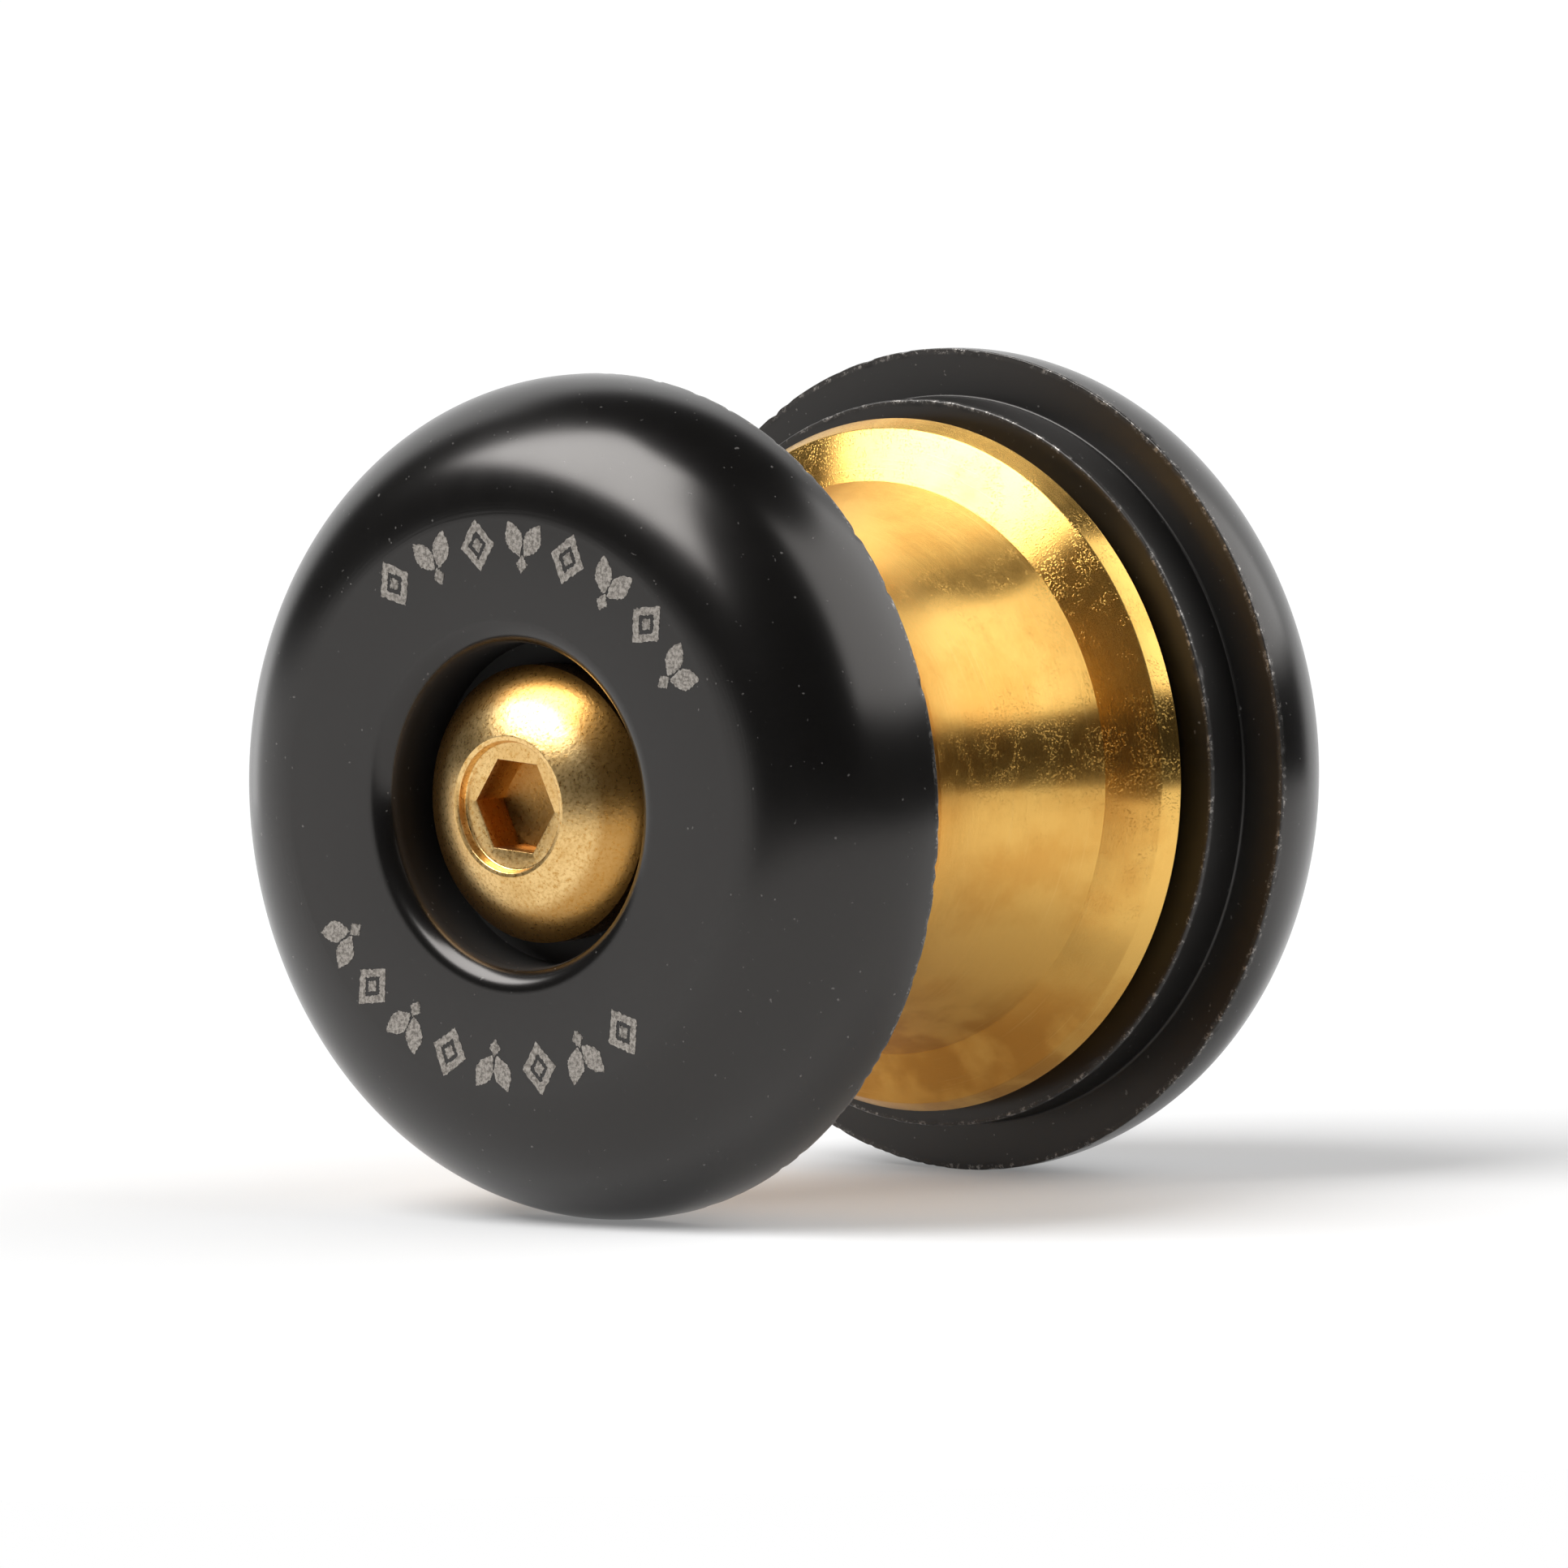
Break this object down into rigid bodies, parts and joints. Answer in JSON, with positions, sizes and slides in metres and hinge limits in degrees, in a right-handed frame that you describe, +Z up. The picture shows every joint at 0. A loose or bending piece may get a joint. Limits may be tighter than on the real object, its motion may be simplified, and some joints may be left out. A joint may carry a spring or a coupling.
{
  "type": "double-flanged groove roller",
  "caption": "Groove roller with a waisted gold-coloured barrel that spins on ball bearings between black rounded flanges, held by button-head screws.",
  "frame": {"origin": "middle of the roller on its spin axis, half-way between the two flat end faces", "axes": "+Y along the spin axis towards the rear flange, +Z up, front flange at -Y"},
  "size_m": [0.029, 0.0296, 0.029],
  "materials": {
    "black_anodised": "satin black anodised, turned",
    "gold_roller": "polished gold-coloured hard coating over turned stainless steel",
    "gold_screw": "gold-coloured coating over forged stainless steel, fine grained",
    "race_steel": "ground bearing steel",
    "ball_steel": "polished bearing steel",
    "cage_brass": "machined brass",
    "shield_steel": "pressed stainless steel",
    "spindle_steel": "turned stainless steel",
    "spacer_steel": "turned stainless steel"
  },
  "bodies": {
    "frame": {"front_flange": "black_anodised", "rear_flange": "black_anodised", "spindle": "spindle_steel", "spacer_tube": "spacer_steel", "front_screw": "gold_screw", "rear_screw": "gold_screw", "front_shim": "spacer_steel", "rear_shim": "spacer_steel", "front_bearing_inner_race": "race_steel", "rear_bearing_inner_race": "race_steel"},
    "roller": {"groove_roller": "gold_roller", "front_bearing_outer_race": "race_steel", "rear_bearing_outer_race": "race_steel", "front_bearing_outer_shield": "shield_steel", "front_bearing_inner_shield": "shield_steel", "rear_bearing_outer_shield": "shield_steel", "rear_bearing_inner_shield": "shield_steel"},
    "front_cage": {"front_bearing_cage": "cage_brass", "front_bearing_balls": "ball_steel"},
    "rear_cage": {"rear_bearing_cage": "cage_brass", "rear_bearing_balls": "ball_steel"}
  },
  "joints": [
    {"name": "roller_spin", "type": "hinge", "parent": "frame", "child": "roller", "pos_m": [0, 0, 0], "axis": [0, 1, 0], "continuous": true},
    {"name": "front_cage_spin", "type": "hinge", "parent": "frame", "child": "front_cage", "pos_m": [0, -0.0054, 0], "axis": [0, 1, 0], "continuous": true},
    {"name": "rear_cage_spin", "type": "hinge", "parent": "frame", "child": "rear_cage", "pos_m": [0, 0.0054, 0], "axis": [0, 1, 0], "continuous": true}
  ],
  "couplings": [
    {"joint": "front_cage_spin", "follows": "roller_spin", "ratio": 0.57218},
    {"joint": "rear_cage_spin", "follows": "roller_spin", "ratio": 0.57218}
  ]
}
